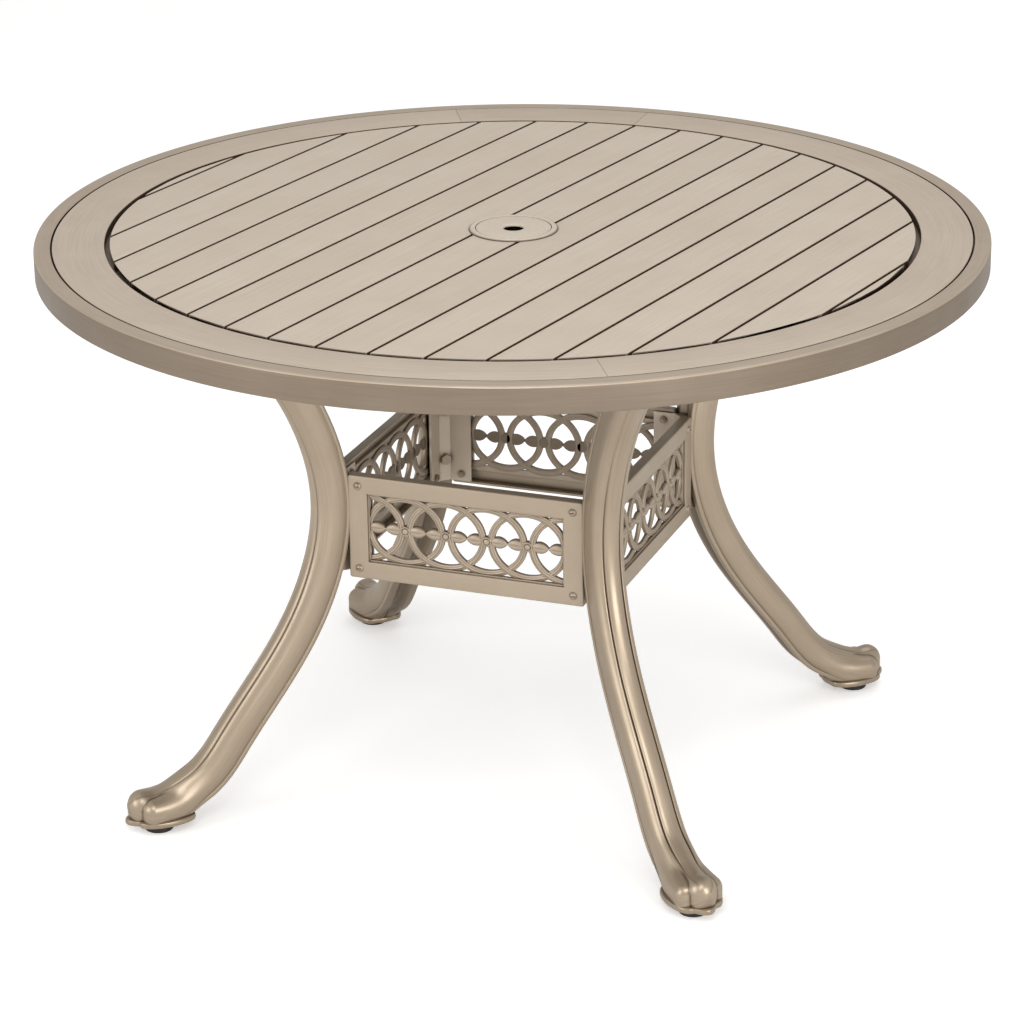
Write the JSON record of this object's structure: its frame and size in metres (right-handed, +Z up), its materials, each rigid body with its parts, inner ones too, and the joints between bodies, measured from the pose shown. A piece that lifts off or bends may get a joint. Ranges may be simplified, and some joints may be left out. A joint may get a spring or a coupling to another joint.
{
  "type": "patio umbrella table",
  "caption": "Round slatted metal patio table with a lift-out umbrella hole cap, a latticed apron box and curved legs on levelling feet.",
  "frame": {"origin": "on the floor under the centre of the round top", "axes": "+Z up, X and Y square to the sides of the apron box, front panel facing -Y"},
  "size_m": [1.2192, 1.2192, 0.7425],
  "materials": {
    "slat_paint": "brushed champagne powder coat, satin",
    "border_paint": "brushed champagne powder coat, satin",
    "frame_paint": "brushed champagne powder coat, satin",
    "cast_paint": "cast, champagne coat with a brown wash in the hollows",
    "painted_fixing": "painted with the frame",
    "steel": "zinc plated",
    "glide_black": "matt black"
  },
  "bodies": {
    "frame": {"rim_hoop": "frame_paint", "border_board_1": "border_paint", "border_board_2": "border_paint", "border_board_3": "border_paint", "slat_01": "slat_paint", "slat_02": "slat_paint", "slat_03": "slat_paint", "slat_04": "slat_paint", "slat_05": "slat_paint", "slat_06": "slat_paint", "slat_07": "slat_paint", "slat_08": "slat_paint", "slat_09_near": "slat_paint", "slat_09_far": "slat_paint", "slat_10": "slat_paint", "slat_11": "slat_paint", "slat_12": "slat_paint", "slat_13": "slat_paint", "slat_14": "slat_paint", "slat_15": "slat_paint", "slat_16": "slat_paint", "slat_17": "slat_paint", "support_ring": "frame_paint", "battens": "frame_paint", "rail_front_right": "frame_paint", "rail_back_right": "frame_paint", "rail_back_left": "frame_paint", "rail_front_left": "frame_paint", "umbrella_sleeve": "frame_paint", "umbrella_ring": "frame_paint", "panel_front": "cast_paint", "panel_right": "cast_paint", "panel_back": "cast_paint", "panel_left": "cast_paint", "grille_front": "cast_paint", "grille_right": "cast_paint", "grille_back": "cast_paint", "grille_left": "cast_paint", "corner_bracket_front_right": "cast_paint", "corner_bracket_back_right": "cast_paint", "corner_bracket_back_left": "cast_paint", "corner_bracket_front_left": "cast_paint", "panel_screws": "painted_fixing", "panel_nuts": "painted_fixing", "leg_bolts": "painted_fixing", "rail_nuts": "painted_fixing", "leg_front_right": "cast_paint", "leg_back_right": "cast_paint", "leg_back_left": "cast_paint", "leg_front_left": "cast_paint", "foot_inserts": "steel"},
    "cap": {"umbrella_cap": "slat_paint"},
    "stem_front_right": {"glide_stem_front_right": "steel"},
    "pad_front_right": {"glide_pad_front_right": "glide_black"},
    "stem_back_right": {"glide_stem_back_right": "steel"},
    "pad_back_right": {"glide_pad_back_right": "glide_black"},
    "stem_back_left": {"glide_stem_back_left": "steel"},
    "pad_back_left": {"glide_pad_back_left": "glide_black"},
    "stem_front_left": {"glide_stem_front_left": "steel"},
    "pad_front_left": {"glide_pad_front_left": "glide_black"}
  },
  "joints": [
    {"name": "cap_lift", "type": "slide", "parent": "frame", "child": "cap", "axis": [0, 0, 1], "range_m": [0, 0.06]},
    {"name": "glide_height_front_right", "type": "slide", "parent": "frame", "child": "stem_front_right", "axis": [0, 0, -1], "range_m": [0, 0.008]},
    {"name": "glide_turn_front_right", "type": "hinge", "parent": "stem_front_right", "child": "pad_front_right", "pos_m": [0.36416, -0.36416, 0.005], "axis": [0, 0, 1], "continuous": true},
    {"name": "glide_height_back_right", "type": "slide", "parent": "frame", "child": "stem_back_right", "axis": [0, 0, -1], "range_m": [0, 0.008]},
    {"name": "glide_turn_back_right", "type": "hinge", "parent": "stem_back_right", "child": "pad_back_right", "pos_m": [0.36416, 0.36416, 0.005], "axis": [0, 0, 1], "continuous": true},
    {"name": "glide_height_back_left", "type": "slide", "parent": "frame", "child": "stem_back_left", "axis": [0, 0, -1], "range_m": [0, 0.008]},
    {"name": "glide_turn_back_left", "type": "hinge", "parent": "stem_back_left", "child": "pad_back_left", "pos_m": [-0.36416, 0.36416, 0.005], "axis": [0, 0, 1], "continuous": true},
    {"name": "glide_height_front_left", "type": "slide", "parent": "frame", "child": "stem_front_left", "axis": [0, 0, -1], "range_m": [0, 0.008]},
    {"name": "glide_turn_front_left", "type": "hinge", "parent": "stem_front_left", "child": "pad_front_left", "pos_m": [-0.36416, -0.36416, 0.005], "axis": [0, 0, 1], "continuous": true}
  ]
}
